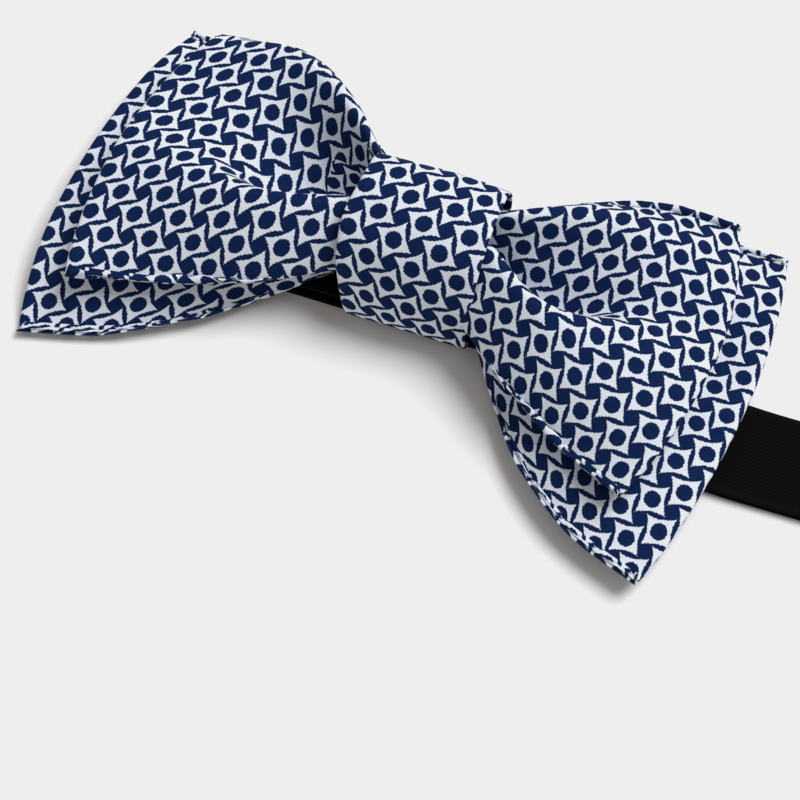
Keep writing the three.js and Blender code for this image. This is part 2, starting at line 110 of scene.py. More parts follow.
def new_material(name, **surface):
    """A material with its own Principled shader, whose uniform values are set on its sockets."""
    material = bpy.data.materials.new(name)
    material.use_nodes = True
    shader = material.node_tree.nodes["Principled BSDF"]
    for socket, value in surface.items():
        shader.inputs[socket.replace("_", " ")].default_value = value
    return material, shader


# %% Table, sky and window light
table_paper, table_shader = new_material("matt_white_paper", Roughness=0.75)
paper_place = add_node(table_paper, "ShaderNodeTexCoord")
PAPER_FIBRE = 0.4 * MM
paper_fibre = add_node(
    table_paper,
    "ShaderNodeTexNoise",
    {"Vector": paper_place.outputs["Object"], "Scale": 1 / PAPER_FIBRE, "Detail": 3.0},
)
paper_colour = add_node(
    table_paper,
    "ShaderNodeMix",
    {0: paper_fibre.outputs["Fac"], 6: linear("#EDEDEE"), 7: linear("#F3F3F4")},
    data_type="RGBA",
)
table_paper.node_tree.links.new(paper_colour.outputs[2], table_shader.inputs["Base Color"])

TABLE_REACH = 3.0  # metres from its middle to each side
table_mesh = bmesh.new()
bmesh.ops.create_grid(table_mesh, x_segments=1, y_segments=1, size=TABLE_REACH)
table_data = bpy.data.meshes.new("table")
table_mesh.to_mesh(table_data)
table_mesh.free()
table_data.materials.append(table_paper)
table = bpy.data.objects.new("table", table_data)
bpy.context.collection.objects.link(table)

SKY_STRENGTH = 0.45
world = bpy.data.worlds.new("studio")
bpy.context.scene.world = world
world.use_nodes = True
world.node_tree.nodes["Background"].inputs["Color"].default_value = linear("#FBF4EC")
world.node_tree.nodes["Background"].inputs["Strength"].default_value = SKY_STRENGTH

WINDOW_FROM = (0.36, 0.42, 0.92)
WINDOW_WIDTH = math.radians(36)
WINDOW_STRENGTH = 3.3
window = bpy.data.objects.new("window", bpy.data.lights.new("window", "SUN"))
window.data.energy = WINDOW_STRENGTH
window.data.angle = WINDOW_WIDTH
window.data.color = linear("#FDFDFF")[:3]
window.matrix_world = Vector(WINDOW_FROM).to_track_quat("Z", "Y").to_matrix().to_4x4()
bpy.context.collection.objects.link(window)
print("window light comes from", WINDOW_FROM)

# %% [markdown]
# ## A cloth grid
#
# Each woven piece here starts as a flat strip, so each is made the same way: one bmesh grid with the
# strip's own length and width as its UV map, in metres, and then every point is carried to its place in
# the folded shape. The weave and the print follow the UV map, so they fold and fan with the cloth. A
# Solidify modifier then gives the cloth its thickness.


# %% Helper: a strip of cloth carried into place
def cloth_strip(name, places, along, across, thickness, material, body):
    """places is an array of points, [along the strip, across it], in mm. along and across give the
    flat cloth's own measure at each row and column, in mm, and become the UV map in metres."""
    rows, columns = places.shape[:2]
    mesh = bmesh.new()
    uv_layer = mesh.loops.layers.uv.new("cloth")
    bmesh.ops.create_grid(mesh, x_segments=rows - 1, y_segments=columns - 1, size=1)
    grid_place = {}
    for vertex in mesh.verts:
        row = round((vertex.co.x + 1) / 2 * (rows - 1))
        column = round((vertex.co.y + 1) / 2 * (columns - 1))
        grid_place[vertex] = (row, column)
    for face in mesh.faces:
        face.smooth = True
        for loop in face.loops:
            row, column = grid_place[loop.vert]
            loop[uv_layer].uv = (along[row] * MM, across[column] * MM)
    for vertex, (row, column) in grid_place.items():
        vertex.co = places[row, column] * MM
    data = bpy.data.meshes.new(name)
    mesh.to_mesh(data)
    mesh.free()
    data.materials.append(material)
    piece = bpy.data.objects.new(name, data)
    bpy.context.collection.objects.link(piece)
    solid = piece.modifiers.new("thickness", "SOLIDIFY")
    solid.thickness = thickness * MM
    solid.offset = 0
    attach(piece, body)
    return piece


def lengths_along(points):
    """Distance from the first point to each of the others, along the line through them."""
    steps = np.linalg.norm(np.diff(points, axis=0), axis=1)
    return np.concatenate([[0], np.cumsum(steps)])


SPLINE_STEPS = 16


def smooth_line(stations, samples):
    """A line of evenly spaced samples on a Catmull-Rom spline through the stations, and its length.
    stations may be one line, [station, xyz], or many at once, [station, line, xyz]."""
    stations = np.asarray(stations, float)
    ends = np.concatenate([[2 * stations[0] - stations[1]], stations, [2 * stations[-1] - stations[-2]]])
    share = np.linspace(0, 1, SPLINE_STEPS, endpoint=False).reshape((-1,) + (1,) * (stations.ndim - 1))
    spans = []
    for before, start, end, after in zip(ends, ends[1:], ends[2:], ends[3:]):
        spans.append(
            0.5
            * (
                2 * start
                + (end - before) * share
                + (2 * before - 5 * start + 4 * end - after) * share**2
                + (3 * start - before - 3 * end + after) * share**3
            )
        )
    line = np.concatenate(spans + [stations[-1:]])
    flat = line.reshape(len(line), -1, line.shape[-1])
    even = np.empty((samples, flat.shape[1], flat.shape[2]))
    lengths = np.empty(flat.shape[1])
    for column in range(flat.shape[1]):
        distance = lengths_along(flat[:, column])
        lengths[column] = distance[-1]
        wanted = np.linspace(0, distance[-1], samples)
        for axis in range(flat.shape[2]):
            even[:, column, axis] = np.interp(wanted, distance, flat[:, column, axis])
    return even.reshape((samples,) + line.shape[1:]), lengths.reshape(line.shape[1:-1])


# %% [markdown]
# ## The printed cotton
#
# The cloth is plain-weave cotton poplin with an opaque navy and white print. The print is a lattice of
# white stars with hollowed sides, each with a round navy dot, and each star is turned a little against
# the lattice. A star is the set of points (p, q), measured from its centre in pitches, where
# |p| < a + c q² and |q| < a + c p². The tips of a star reach into the next cell, so three stars are
# worked out at each point: the nearest, and its neighbours across the nearest two cell edges.
#
# Poplin's threads are about a quarter of a millimetre apart, finer than the render can show, so they
# are drawn 0.4 mm apart: they give the edges of the print their slight roughness and the cloth its
# dull sheen.

# %% Material: printed cotton poplin
PRINT_PITCH = 5.6
STAR_HALF = 0.362
STAR_HOLLOW = 0.46
STAR_TURN = math.radians(-22)
DOT_RADIUS = 0.262
PRINT_EDGE = 0.014
PRINT_WOBBLE = 0.035
WOBBLES_PER_PITCH = 6.0
THREAD_FRAY = 0.014
THREAD_SPACING = 0.4
DYE_PATCH = 1.2


def printed_cotton(name, lattice_shift=(0.0, 0.0)):
    """The same printed poplin for every cotton piece. lattice_shift moves the print, in mm along the
    lattice's own two axes, because each piece is cut from another place in the cloth."""
    cotton, shader = new_material(name, Roughness=0.85, Specular_IOR_Level=0.06)

    def math_node(operation, *values):
        """One arithmetic step on two or three values or sockets."""
        return add_node(cotton, "ShaderNodeMath", enumerate(values), operation=operation).outputs[0]

    cloth = add_node(cotton, "ShaderNodeUVMap", uv_map="cloth").outputs["UV"]
    per_metre = 1 / (PRINT_PITCH * MM)
    lattice = add_node(
        cotton,
        "ShaderNodeMapping",
        {
            "Vector": cloth,
            "Location": (lattice_shift[0] / PRINT_PITCH, lattice_shift[1] / PRINT_PITCH, 0),
            "Rotation": (0, 0, math.radians(45)),
            "Scale": (per_metre, per_metre, 1),
        },
    ).outputs["Vector"]
    wobble = add_node(
        cotton,
        "ShaderNodeTexNoise",
        {"Vector": lattice, "Scale": WOBBLES_PER_PITCH, "Detail": 2.0},
        noise_dimensions="2D",
    ).outputs["Color"]
    centred = add_node(
        cotton, "ShaderNodeVectorMath", {0: wobble, 1: (0.5, 0.5, 0.5)}, operation="SUBTRACT"
    ).outputs[0]
    uneven = add_node(
        cotton,
        "ShaderNodeVectorMath",
        {0: centred, 1: (PRINT_WOBBLE, PRINT_WOBBLE, 0.0), 2: lattice},
        operation="MULTIPLY_ADD",
    ).outputs[0]
    in_cell = add_node(cotton, "ShaderNodeVectorMath", {0: uneven}, operation="FRACTION").outputs[0]
    nearest = add_node(
        cotton, "ShaderNodeVectorMath", {0: in_cell, 1: (0.5, 0.5, 0)}, operation="SUBTRACT"
    ).outputs[0]
    towards = add_node(cotton, "ShaderNodeVectorMath", {0: nearest}, operation="SIGN").outputs[0]
    stars = []
    for neighbour in ((0, 0, 0), (-1, 0, 0), (0, -1, 0)):
        from_centre = add_node(
            cotton,
            "ShaderNodeVectorMath",
            {0: towards, 1: neighbour, 2: nearest},
            operation="MULTIPLY_ADD",
        ).outputs[0]
        turned = add_node(
            cotton,
            "ShaderNodeVectorRotate",
            {"Vector": from_centre, "Angle": STAR_TURN},
            rotation_type="Z_AXIS",
        ).outputs[0]
        split = add_node(cotton, "ShaderNodeSeparateXYZ", {0: turned})
        p, q = split.outputs["X"], split.outputs["Y"]
        beside_p = math_node("MULTIPLY_ADD", math_node("MULTIPLY", q, q), STAR_HOLLOW, STAR_HALF)
        beside_q = math_node("MULTIPLY_ADD", math_node("MULTIPLY", p, p), STAR_HOLLOW, STAR_HALF)
        inside_p = math_node("SUBTRACT", beside_p, math_node("ABSOLUTE", p))
        inside_q = math_node("SUBTRACT", beside_q, math_node("ABSOLUTE", q))
        stars.append(math_node("MINIMUM", inside_p, inside_q))
    inside_star = math_node("MAXIMUM", math_node("MAXIMUM", stars[0], stars[1]), stars[2])
    from_dot = add_node(
        cotton, "ShaderNodeVectorMath", {0: nearest}, operation="LENGTH"
    ).outputs["Value"]
    outside_dot = math_node("SUBTRACT", from_dot, DOT_RADIUS)

    thread = math.pi / (THREAD_SPACING * MM)
    cloth_split = add_node(cotton, "ShaderNodeSeparateXYZ", {0: cloth})
    weft = math_node("SINE", math_node("MULTIPLY", cloth_split.outputs["X"], thread))
    warp = math_node("SINE", math_node("MULTIPLY", cloth_split.outputs["Y"], thread))
    weave = math_node("MULTIPLY", weft, warp)

    white_amount = math_node("MINIMUM", inside_star, outside_dot)
    frayed = math_node("MULTIPLY_ADD", weave, THREAD_FRAY, white_amount)
    white = add_node(
        cotton,
        "ShaderNodeMapRange",
        {"Value": frayed, "From Min": -PRINT_EDGE, "From Max": PRINT_EDGE},
        interpolation_type="SMOOTHSTEP",
    ).outputs[0]

    dye = add_node(
        cotton,
        "ShaderNodeTexNoise",
        {"Vector": cloth, "Scale": 1 / (DYE_PATCH * MM), "Detail": 4.0},
    ).outputs["Fac"]
    navy = add_node(
        cotton,
        "ShaderNodeMix",
        {0: dye, 6: linear("#0A1B41"), 7: linear("#0F2854")},
        data_type="RGBA",
    ).outputs[2]
    bleached = add_node(
        cotton,
        "ShaderNodeMix",
        {0: dye, 6: linear("#D3DBE7"), 7: linear("#DFE7F3")},
        data_type="RGBA",
    ).outputs[2]
    colour = add_node(
        cotton, "ShaderNodeMix", {0: white, 6: navy, 7: bleached}, data_type="RGBA"
    ).outputs[2]
    cotton.node_tree.links.new(colour, shader.inputs["Base Color"])
    bump = add_node(
        cotton,
        "ShaderNodeBump",
        {"Height": weave, "Strength": 0.35, "Distance": 0.05 * MM},
    )
    cotton.node_tree.links.new(bump.outputs["Normal"], shader.inputs["Normal"])
    return cotton


bow_cotton = printed_cotton("printed_cotton_poplin")
knot_cotton = printed_cotton("printed_cotton_poplin_knot", lattice_shift=(2.19, 0.57))
print("print pitch", PRINT_PITCH, "mm, threads drawn", THREAD_SPACING, "mm apart")

# %% [markdown]
# ## The wings
#
# A bow is one strip of cloth, folded flat at both ends, with its raw edges turned in. Bound in the
# middle, it creases into an M: a low edge, a lower lobe, a valley, an upper lobe and a high edge. Away
# from the knot the M opens until the wing is nearly flat at its folded end. Close to the knot both
# edges are tucked under as well.
#
# Cloth simulation could find such folds, but it would find its own, and this bow has lobes of a known
# size. So the wing is drawn as its maker sees it: for each wing, seven lines along the M are given at
# four places from the knot to the folded end, and a smooth section runs through them at every step.
#
# The width of the cloth is spread evenly along each section. Real poplin does not stretch, so a section
# should be as long as its cloth is wide. Here it is only near that: a longer section stretches the
# print, by a fifth at worst on the front left wing, and the back bow's short sections beside the knot
# close it up. The lengths are printed below, to be compared with each bow's cloth.

# %% The lines of each wing
# Each line: (y, z) at the knot, at three and at six and a half tenths of the wing, and at its end, in mm.
KNOT_EDGE = 11.5
STATION_SHARES = (0.0, 0.3, 0.65, 1.0)
WINGS = {
    "front_right": {
        "end": 54.4,
        "bowed": 5.8,
        "skewed": 1.0,
        "low_edge": ((-8.0, 11.5), (-14.8, 10.8), (-20.6, 9.8), (-25.2, 11.2)),
        "low_flank": ((-3.5, 17.5), (-9.2, 17.6), (-12.6, 15.8), (-14.6, 14.6)),
        "low_crest": ((3.4, 20.6), (-3.2, 20.8), (-1.8, 18.6), (-0.6, 16.2)),
        "valley": ((5.0, 11.0), (0.8, 9.0), (5.6, 14.8), (7.0, 16.0)),
        "high_flank": ((7.4, 16.0), (8.6, 14.2), (12.0, 16.6), (13.5, 16.2)),
        "high_crest": ((9.6, 20.6), (15.8, 20.4), (20.0, 18.4), (20.5, 15.8)),
        "high_edge": ((12.0, 17.0), (20.4, 16.0), (26.2, 15.0), (28.2, 14.4)),
    },
    "front_left": {
        "end": 56.4,
        "bowed": 3.8,
        "skewed": 1.2,
        "low_edge": ((-7.8, 11.5), (-16.3, 10.6), (-22.4, 9.8), (-27.9, 10.8)),
        "low_flank": ((-4.0, 17.5), (-10.8, 17.6), (-14.6, 15.6), (-16.2, 14.0)),
        "low_crest": ((2.4, 20.6), (-3.6, 20.8), (-5.4, 18.8), (-4.0, 16.2)),
        "valley": ((5.0, 7.8), (0.8, 7.8), (3.6, 15.0), (5.0, 16.0)),
        "high_flank": ((8.2, 10.8), (11.4, 10.6), (13.0, 15.6), (13.5, 16.0)),
        "high_crest": ((9.8, 20.6), (19.0, 20.8), (24.6, 18.2), (21.0, 15.6)),
        "high_edge": ((11.2, 17.0), (22.2, 16.4), (27.6, 15.0), (25.4, 14.4)),
    },
    "back_right": {
        "end": 61.8,
        "bowed": 4.4,
        "skewed": 0.6,
        "low_edge": ((-3.6, 5.2), (-19.4, 4.2), (-30.8, 4.2), (-35.6, 4.4)),
        "low_flank": ((-1.5, 9.6), (-11.5, 9.4), (-19.0, 8.0), (-21.0, 6.4)),
        "low_crest": ((3.0, 13.0), (-2.0, 12.2), (-4.0, 9.0), (-4.0, 7.2)),
        "valley": ((4.6, 8.4), (3.0, 5.8), (5.0, 6.6), (6.0, 7.2)),
        "high_flank": ((6.6, 10.6), (9.0, 9.0), (12.0, 7.8), (14.0, 7.2)),
        "high_crest": ((8.6, 13.0), (15.0, 12.0), (20.0, 8.8), (22.0, 7.0)),
        "high_edge": ((10.4, 9.0), (21.0, 7.4), (28.0, 5.8), (31.0, 5.0)),
    },
    "back_left": {
        "end": 63.6,
        "bowed": 4.4,
        "skewed": -0.4,
        "low_edge": ((-3.0, 5.2), (-17.4, 3.2), (-29.8, 1.9), (-37.2, 1.7)),
        "low_flank": ((-1.5, 9.6), (-11.0, 9.4), (-19.0, 8.0), (-23.0, 6.4)),
        "low_crest": ((3.0, 13.0), (-3.0, 12.2), (-6.0, 9.0), (-6.0, 7.2)),
        "valley": ((4.6, 8.4), (3.0, 5.8), (4.0, 6.6), (4.0, 7.2)),
        "high_flank": ((6.6, 10.6), (10.0, 8.4), (12.0, 7.6), (12.0, 7.2)),
        "high_crest": ((8.6, 13.0), (16.0, 12.2), (19.0, 8.8), (19.0, 7.0)),
        "high_edge": ((10.4, 9.0), (21.5, 7.4), (27.0, 5.8), (27.8, 5.0)),
    },
}
LINE_NAMES = ("low_edge", "low_flank", "low_crest", "valley", "high_flank", "high_crest", "high_edge")
EDGE_TUCK = ((5.0, -1.6), (-4.0, -2.4))
TUCK_FADE = 3
BOWS = {
    "front_bow": {"cloth": 55.0, "leaf_gap": 1.8, "pucker": 0.2, "seed": 3},
    "back_bow": {"cloth": 67.0, "leaf_gap": 1.8, "pucker": 0.08, "seed": 8},
}
SHELL_THICKNESS = 0.28
EDGE_PINCH = 0.5
PINCH_SHARPNESS = 8
RIPPLE_REACH = 1.6
WAIST_SQUEEZE = 0.7
WAIST_MIDDLE = (1.5, 12.3)
BACK_LEAF_SHORT = 0.9
CELL = 0.8


def at_shares(values, shares):
    """A smooth curve through a line's four stations, at each share of the wing's length."""
    values = np.array(values, float)
    slopes = np.gradient(values, STATION_SHARES, axis=0)
    span = np.clip(np.searchsorted(STATION_SHARES, shares, side="right") - 1, 0, len(values) - 2)
    start, end = np.take(STATION_SHARES, span), np.take(STATION_SHARES, span + 1)
    width = (end - start)[:, None]
    t = (shares - start)[:, None] / width
    return (
        (2 * t**3 - 3 * t**2 + 1) * values[span]
        + (t**3 - 2 * t**2 + t) * width * slopes[span]
        + (3 * t**2 - 2 * t**3) * values[span + 1]
        + (t**3 - t**2) * width * slopes[span + 1]
    )


def wing_surface(wing, shares, columns):
    """Points [share, column, xyz] on a wing's front, in mm, with x counted outwards from the knot."""
    stations = [at_shares(wing[line], shares) for line in LINE_NAMES]
    fading = (1 - shares[:, None]) ** TUCK_FADE
    stations.insert(0, stations[0] + fading * EDGE_TUCK[0])
    stations.append(stations[-1] + fading * EDGE_TUCK[1])
    sections, lengths = smooth_line(stations, columns)
    sections = sections.transpose(1, 0, 2)
    across = np.linspace(-1, 1, columns)
    reach = wing["end"] - wing["bowed"] * across**2 - wing["skewed"] * across
    out = KNOT_EDGE + (reach[None, :] - KNOT_EDGE) * shares[:, None]
    return np.dstack([out, sections]), lengths


for wing_name, wing in WINGS.items():
    section_lengths = wing_surface(wing, np.array(STATION_SHARES), 40)[1]
    print(wing_name, "section lengths", section_lengths.round(1), "mm")

# %% [markdown]
# The whole loop of a bow is one grid. Going along the strip: from the seam at the back of the knot to
# the right end, round the fold, across the front to the left end, round that fold and back to the seam.
# The back leaf lies a little behind the front one, and its edges are drawn in a little, so that they
# do not show beyond it. Their edges turn in towards each other, and the seam that joins them puckers
# the cloth. In the turned edges the steps are uneven, so there the cloth is measured step by step.


# %% Helper: a whole bow as one folded strip
HEM_TURN = ((-0.12, 0.25), (0.0, 0.85), (0.35, 1.0), (1.3, 1.0))
HEM_CLEARANCE = 1.08  # how far the turned cloth lies under the cloth, in thicknesses
HIGH_EDGE_SHARE = 0.45  # how much of the low edge's puckering the high edge has
FOLD_ANGLES = np.radians([22.5, 45, 67.5, 90, 112.5, 135, 157.5])


def waist_between(right_edge, left_edge, rows):
    """The gathered cloth inside the knot: from one wing's first section to the other's, drawn in."""
    share = np.linspace(0, 1, rows + 1)[1:-1, None, None]
    eased = share**2 * (3 - 2 * share)
    waist = right_edge * (1 - eased) + left_edge * eased
    squeeze = 1 - (1 - WAIST_SQUEEZE) * np.sin(math.pi * share[:, :, 0])
    for axis, middle in zip((1, 2), WAIST_MIDDLE):
        waist[:, :, axis] = middle + (waist[:, :, axis] - middle) * squeeze
    waist[:, :, 0] = KNOT_EDGE * (1 - 2 * share[:, :, 0])
    return waist


def puckers(rows, seed):
    """An uneven ripple with one value for each row, as a seam gathers cloth. Roughly -1 to 1."""
    place = np.arange(rows) * CELL
    dice = np.random.default_rng(seed)
    waves = [
        dice.uniform(0.2, 0.5) * np.sin(2 * math.pi * place / length + dice.uniform(0, 2 * math.pi))
        for length in (2.7, 3.9, 5.3, 8.1)
    ]
    return np.sum(waves, axis=0)


def flat_across(strip, step, hem):
    """Flat measure across a strip, from its middle, in mm: even steps, but measured ones in the hems."""
    steps = np.full(strip.shape[1] - 1, step)
    if hem:
        measured = np.median(np.linalg.norm(np.diff(strip, axis=1), axis=2), axis=0)
        hem_steps = len(HEM_TURN)
        steps[:hem_steps] = measured[:hem_steps]
        steps[-hem_steps:] = measured[-hem_steps:]
    place = np.concatenate([[0], np.cumsum(steps)])
    return place - place[-1] / 2


def bow_loop(name, inset=0.0, leaf_share=1.0, hem=True):
    """Points of a bow's loop [along, across, xyz] in mm, and the flat measures along and across.
    inset trims the cloth at both edges, and leaf_share draws the two leaves together."""
    bow = BOWS[name]
    right = WINGS[name.replace("bow", "right")]
    left = WINGS[name.replace("bow", "left")]
    columns = round(bow["cloth"] / CELL) + 1
    shares = np.linspace(0, 1, round((right["end"] - KNOT_EDGE) / CELL) + 1)
    right_side = wing_surface(right, shares, columns)[0]
    left_side = wing_surface(left, shares, columns)[0]
    left_side[:, :, 0] *= -1
    waist = waist_between(right_side[0], left_side[0], round(2 * KNOT_EDGE / CELL))
    front = np.concatenate([right_side[::-1], waist, left_side])
    step_along, step_across = np.gradient(front, axis=(0, 1))
    normal = np.cross(step_across, step_along)
    normal /= np.linalg.norm(normal, axis=2, keepdims=True)

    across = np.linspace(-1, 1, columns)
    gap = bow["leaf_gap"] * (1 - EDGE_PINCH * np.abs(across) ** PINCH_SHARPNESS)[None, :, None]
    near_edge = np.exp(-(1 - np.abs(across)) * bow["cloth"] / 2 / RIPPLE_REACH)[None, :, None]
    ripple = puckers(len(front), bow["seed"])[:, None, None]
    pucker = bow["pucker"] * np.where(across < 0, 1.0, HIGH_EDGE_SHARE)[None, :, None]
    centre = front - normal * gap / 2 + normal * near_edge * ripple * pucker
    leaf = normal * gap / 2 * leaf_share

    def fold(end, outward):
        """The rows that turn from the front leaf to the back leaf at one end."""
        bulge = np.zeros_like(leaf[end])
        bulge[:, 0] = outward * gap[0, :, 0] / 2 * leaf_share
        return np.array(
            [centre[end] + leaf[end] * math.cos(a) + bulge * math.sin(a) for a in FOLD_ANGLES]
        )

    middle = len(front) // 2
    step_length = np.linalg.norm(step_across, axis=2, keepdims=True)
    inwards = -np.sign(across)[None, :, None] * step_across / step_length
    back_leaf = (centre - leaf + inwards * near_edge * BACK_LEAF_SHORT)[::-1]
    loop = np.concatenate(
        [back_leaf[-middle:], fold(0, 1)[::-1], centre + leaf, fold(-1, -1), back_leaf[: middle - 1]]
    )
    side_steps = np.linalg.norm(np.diff(loop, axis=0), axis=2)
    along = np.concatenate([[0], np.cumsum(np.median(side_steps, axis=1))])
    if hem:
        inside = np.cross(*np.gradient(loop, axis=(0, 1)))
        loop = turned_edges(loop, inside / np.linalg.norm(inside, axis=2, keepdims=True))
    if inset:
        trim = math.ceil(inset / CELL)
        loop = loop[:, trim:-trim]
    return loop, along, flat_across(loop, CELL, hem)


def turned_edges(strip, inwards):
    """Adds the hem: each edge of the strip turns in, under the cloth, and back along it."""
    under = SHELL_THICKNESS * HEM_CLEARANCE
    sides = []
    for edge, inner in ((0, 1), (-1, -2)):
        back = strip[:, inner] - strip[:, edge]
        back /= np.linalg.norm(back, axis=1, keepdims=True)
        down = inwards[:, edge] * under
        sides.append(np.stack([strip[:, edge] + back * b + down * d for b, d in HEM_TURN], axis=1))
    return np.concatenate([sides[0][:, ::-1], strip, sides[1]], axis=1)


# %% The two bows
def folded_sheet(node):
    """Hides the measured solid that a cloth piece stands for."""
    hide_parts(node)


bow_loops = {}
for bow_name in BOWS:
    places, along, across = bow_loop(bow_name)
    bow_loops[bow_name] = places
    shell = cloth_strip(f"{bow_name}_cloth", places, along, across, SHELL_THICKNESS, bow_cotton, "bow")
    folded_sheet(f"{bow_name}_shell")

# %% [markdown]
# ## What is inside
#
# The wings keep their crispness from a loop of stiff felt inside each bow. It is the same loop, cut
# narrower and drawn a little inwards, so it is made by the same function. It shows as a pale edge
# where the leaves part.

# %% Material: pressed felt interlining
# Pressed viscose felt: matt, with short fibres in every direction, so noise in three sizes does it.
felt, felt_shader = new_material("pressed_felt_interlining", Roughness=0.95, Sheen_Weight=0.3)
felt_place = add_node(felt, "ShaderNodeTexCoord").outputs["Object"]
FELT_FIBRE = 0.5
felt_fibres = add_node(
    felt, "ShaderNodeTexNoise", {"Vector": felt_place, "Scale": 1 / (FELT_FIBRE * MM), "Detail": 5.0}
).outputs["Fac"]
felt_colour = add_node(
    felt,
    "ShaderNodeMix",
    {0: felt_fibres, 6: linear("#CFC9BC"), 7: linear("#F0ECE2")},
    data_type="RGBA",
).outputs[2]
felt.node_tree.links.new(felt_colour, felt_shader.inputs["Base Color"])
felt_bump = add_node(
    felt, "ShaderNodeBump", {"Height": felt_fibres, "Strength": 0.5, "Distance": 0.1 * MM}
)
felt.node_tree.links.new(felt_bump.outputs["Normal"], felt_shader.inputs["Normal"])

# %% The felt loops
FELT_THICKNESS = 0.3
FELT_INSET = 2.4
FELT_SHARE = 0.45
for bow_name in BOWS:
    places, along, across = bow_loop(bow_name, FELT_INSET, FELT_SHARE, hem=False)
    inner = cloth_strip(f"{bow_name}_felt", places, along, across, FELT_THICKNESS, felt, "bow")
    folded_sheet(f"{bow_name}_interlining")

# %% [markdown]
# ## The knot
#
# The knot is a narrow strip of the same cotton with its edges turned in, wrapped once round the middle
# over a felt lining and sewn behind. Its section is drawn as one line from the seam round the front and
# back to the seam, and the strip is a little fuller in the middle of its width, where the bundle inside
# pushes it out. Its left edge is not straight: it bulges out over the lower front, and lower down it
# leans in towards the foot. It sits turned against the wings, because the band runs through it at a
# slant.

# %% The knot's wrap and lining
KNOT_TURN = math.radians(7)
KNOT_WIDTH = 24.0
KNOT_SHIFT = 0.2
WRAP_THICKNESS = 0.4
KNOT_FULL_HEIGHT = 17.0
KNOT_FOOT_NARROWS = 0.03
KNOT_FOOT_LEANS = 2.4
KNOT_BELLY = 1.2
KNOT_BELLY_Y = -2.0
KNOT_BELLY_REACH = 6.0
KNOT_FRONT_FROM = 4.0  # the height where the wrap starts to swell and crease, and over what rise
KNOT_FRONT_RISE = 10.0
WRAP_CROWN = 0.5
CREASE_SEED = 5
KNOT_SECTION = (
    (-0.9, 1.7), (-5.0, 1.6), (-8.6, 1.9), (-10.2, 4.4), (-10.2, 8.5), (-9.2, 13.0), (-6.8, 17.6),
    (-3.4, 21.0), (1.6, 23.0), (7.0, 23.2), (11.2, 21.8), (13.8, 18.6), (14.3, 13.6), (13.5, 8.0),
    (12.0, 3.8), (9.2, 1.8), (5.0, 1.6), (0.9, 1.7),
)


def knot_place(points):
    """Turns points in the knot's own frame, in mm, to where the knot lies."""
    turned = np.array(points, float)
    x = turned[..., 0] + KNOT_SHIFT
    y = turned[..., 1].copy()
    turned[..., 0] = x * math.cos(KNOT_TURN) - y * math.sin(KNOT_TURN)
    turned[..., 1] = x * math.sin(KNOT_TURN) + y * math.cos(KNOT_TURN)
    return turned


def knot_ring(depth, width, crown, seed):
    """A strip round the knot's section, that far inside it, and its flat measures. In mm."""
    section, _ = smooth_line(KNOT_SECTION, 110)
    tangent = np.gradient(section, axis=0)
    tangent /= np.linalg.norm(tangent, axis=1, keepdims=True)
    outwards = np.stack([-tangent[:, 1], tangent[:, 0]], axis=1)
    across = np.linspace(-1, 1, round(width / CELL) + 1)
    fullness = crown * (1 - across**2)
    dice = np.random.default_rng(seed)
    share = np.linspace(0, 1, len(section))
    creases = sum(
        dice.uniform(0.06, 0.16)
        * np.sin(2 * math.pi * (share[:, None] * turns + across[None, :] * slant) + dice.uniform(0, 6))
        for turns, slant in ((3, 0.3), (5, -0.4), (9, 0.7))
    )
    front = np.clip((section[:, 1] - KNOT_FRONT_FROM) / KNOT_FRONT_RISE, 0, 1)[:, None]
    out = -depth + (fullness[None, :] + creases) * front
    ring = np.empty((len(section), len(across), 3))
    foot = np.clip((KNOT_FULL_HEIGHT - section[:, 1]) / KNOT_FULL_HEIGHT, 0, 1)[:, None]
    belly = np.exp(-(((section[:, 0] - KNOT_BELLY_Y) / KNOT_BELLY_REACH) ** 2))[:, None] * (1 - foot)
    left_share = (1 - across[None, :]) / 2
    ring[:, :, 0] = across[None, :] * width / 2 * (1 - KNOT_FOOT_NARROWS * foot)
    ring[:, :, 0] += left_share * (KNOT_FOOT_LEANS * foot - KNOT_BELLY * belly)
    ring[:, :, 1:] = section[:, None, :] + outwards[:, None, :] * out[:, :, None]
    return ring, lengths_along(section), across * width / 2


ring, along, across = knot_ring(0.0, KNOT_WIDTH, WRAP_CROWN, CREASE_SEED)
across_step = across[1] - across[0]
inwards = np.cross(*np.gradient(ring, axis=(0, 1)))
inwards /= np.linalg.norm(inwards, axis=2, keepdims=True)
wrap_places = knot_place(turned_edges(ring, inwards))
across = flat_across(wrap_places, across_step, hem=True)
wrap = cloth_strip("knot_wrap_cloth", wrap_places, along, across, WRAP_THICKNESS, knot_cotton, "bow")
folded_sheet("knot_wrap")

LINING_DEPTH = 1.1
LINING_NARROWER = 3.0
LINING_CROWN = 0.2
ring, along, across = knot_ring(LINING_DEPTH, KNOT_WIDTH - LINING_NARROWER, LINING_CROWN, CREASE_SEED)
lining = cloth_strip("knot_lining_felt", knot_place(ring), along, across, FELT_THICKNESS, felt, "bow")
folded_sheet("knot_lining")
